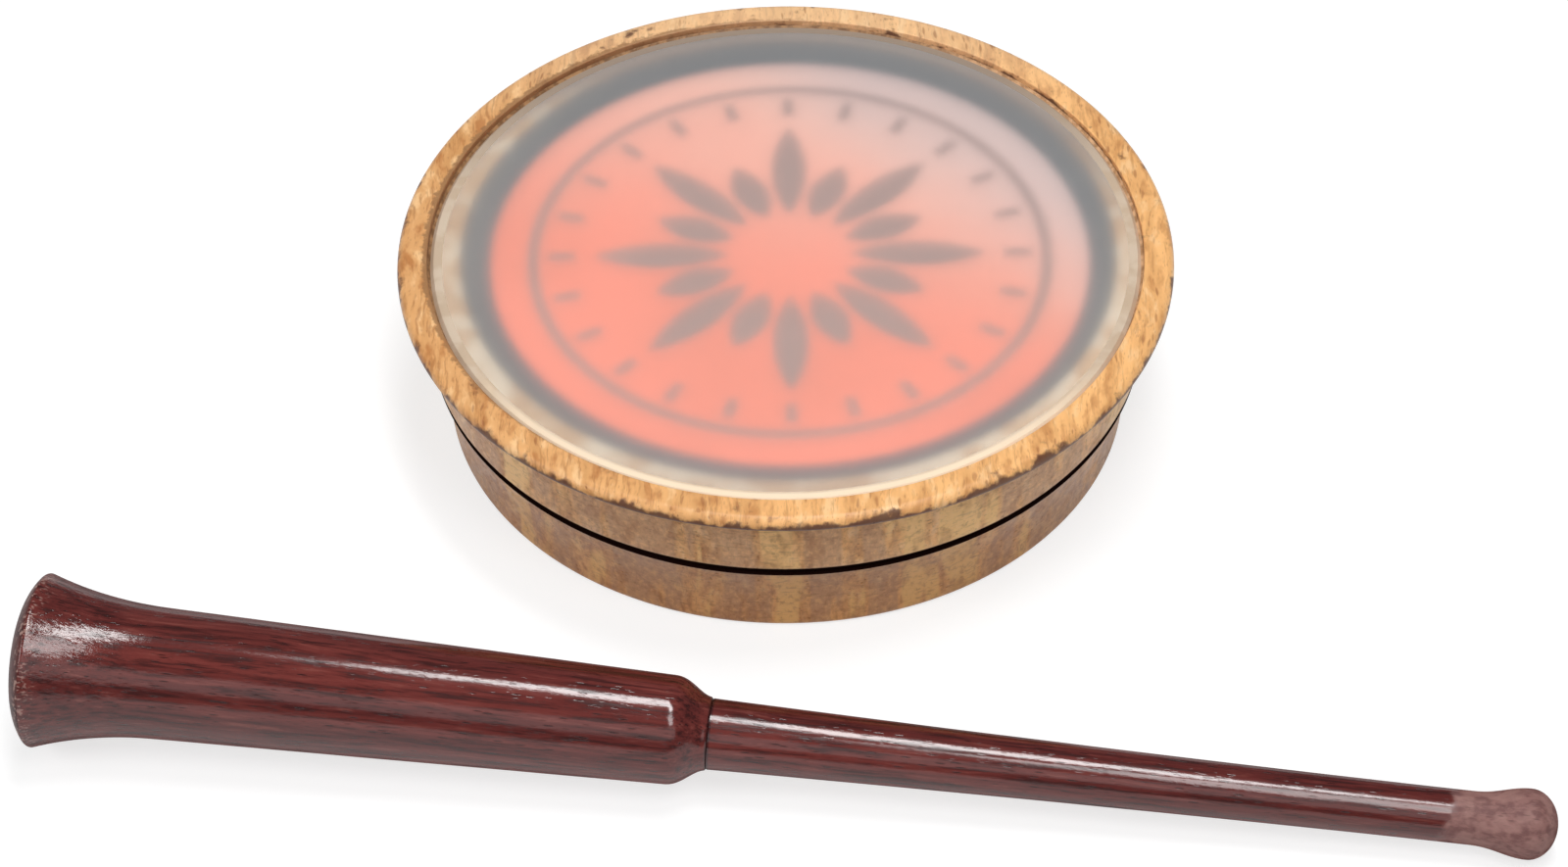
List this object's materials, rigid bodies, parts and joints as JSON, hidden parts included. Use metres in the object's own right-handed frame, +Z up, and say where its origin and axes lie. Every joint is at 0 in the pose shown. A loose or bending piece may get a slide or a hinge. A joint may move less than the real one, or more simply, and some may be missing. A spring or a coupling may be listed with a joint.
{
  "type": "turkey pot call",
  "caption": "Round wooden friction call with a frosted glass playing surface over a print and a soundboard, and a loose turned striker.",
  "frame": {"origin": "middle of the pot's flat underside, on the table", "axes": "+Z up along the pot's turning axis, +X to the right along the striker's length as seen from the front, +Y away from the striker"},
  "size_m": [0.1659, 0.1224, 0.0219],
  "materials": {
    "pot_wood": "satin",
    "frosted_glass": "matte",
    "clear_glue": "satin",
    "print_red": "matte",
    "print_dark": "matte",
    "slate": "matte",
    "striker_wood": "gloss",
    "wood_glue": "satin"
  },
  "bodies": {
    "pot_body": {"pot": "pot_wood", "striking_surface": "frosted_glass", "surface_glue": "clear_glue", "print_field": "print_red", "print_border": "print_dark", "soundboard": "slate", "soundboard_glue": "clear_glue"},
    "striker": {"striker_handle": "striker_wood", "striker_peg": "striker_wood", "peg_glue": "wood_glue"}
  },
  "joints": [
    {"name": "striker_lift", "type": "slide", "parent": "pot_body", "child": "striker", "axis": [0, 0, 1], "range_m": [0, 0.1]}
  ]
}
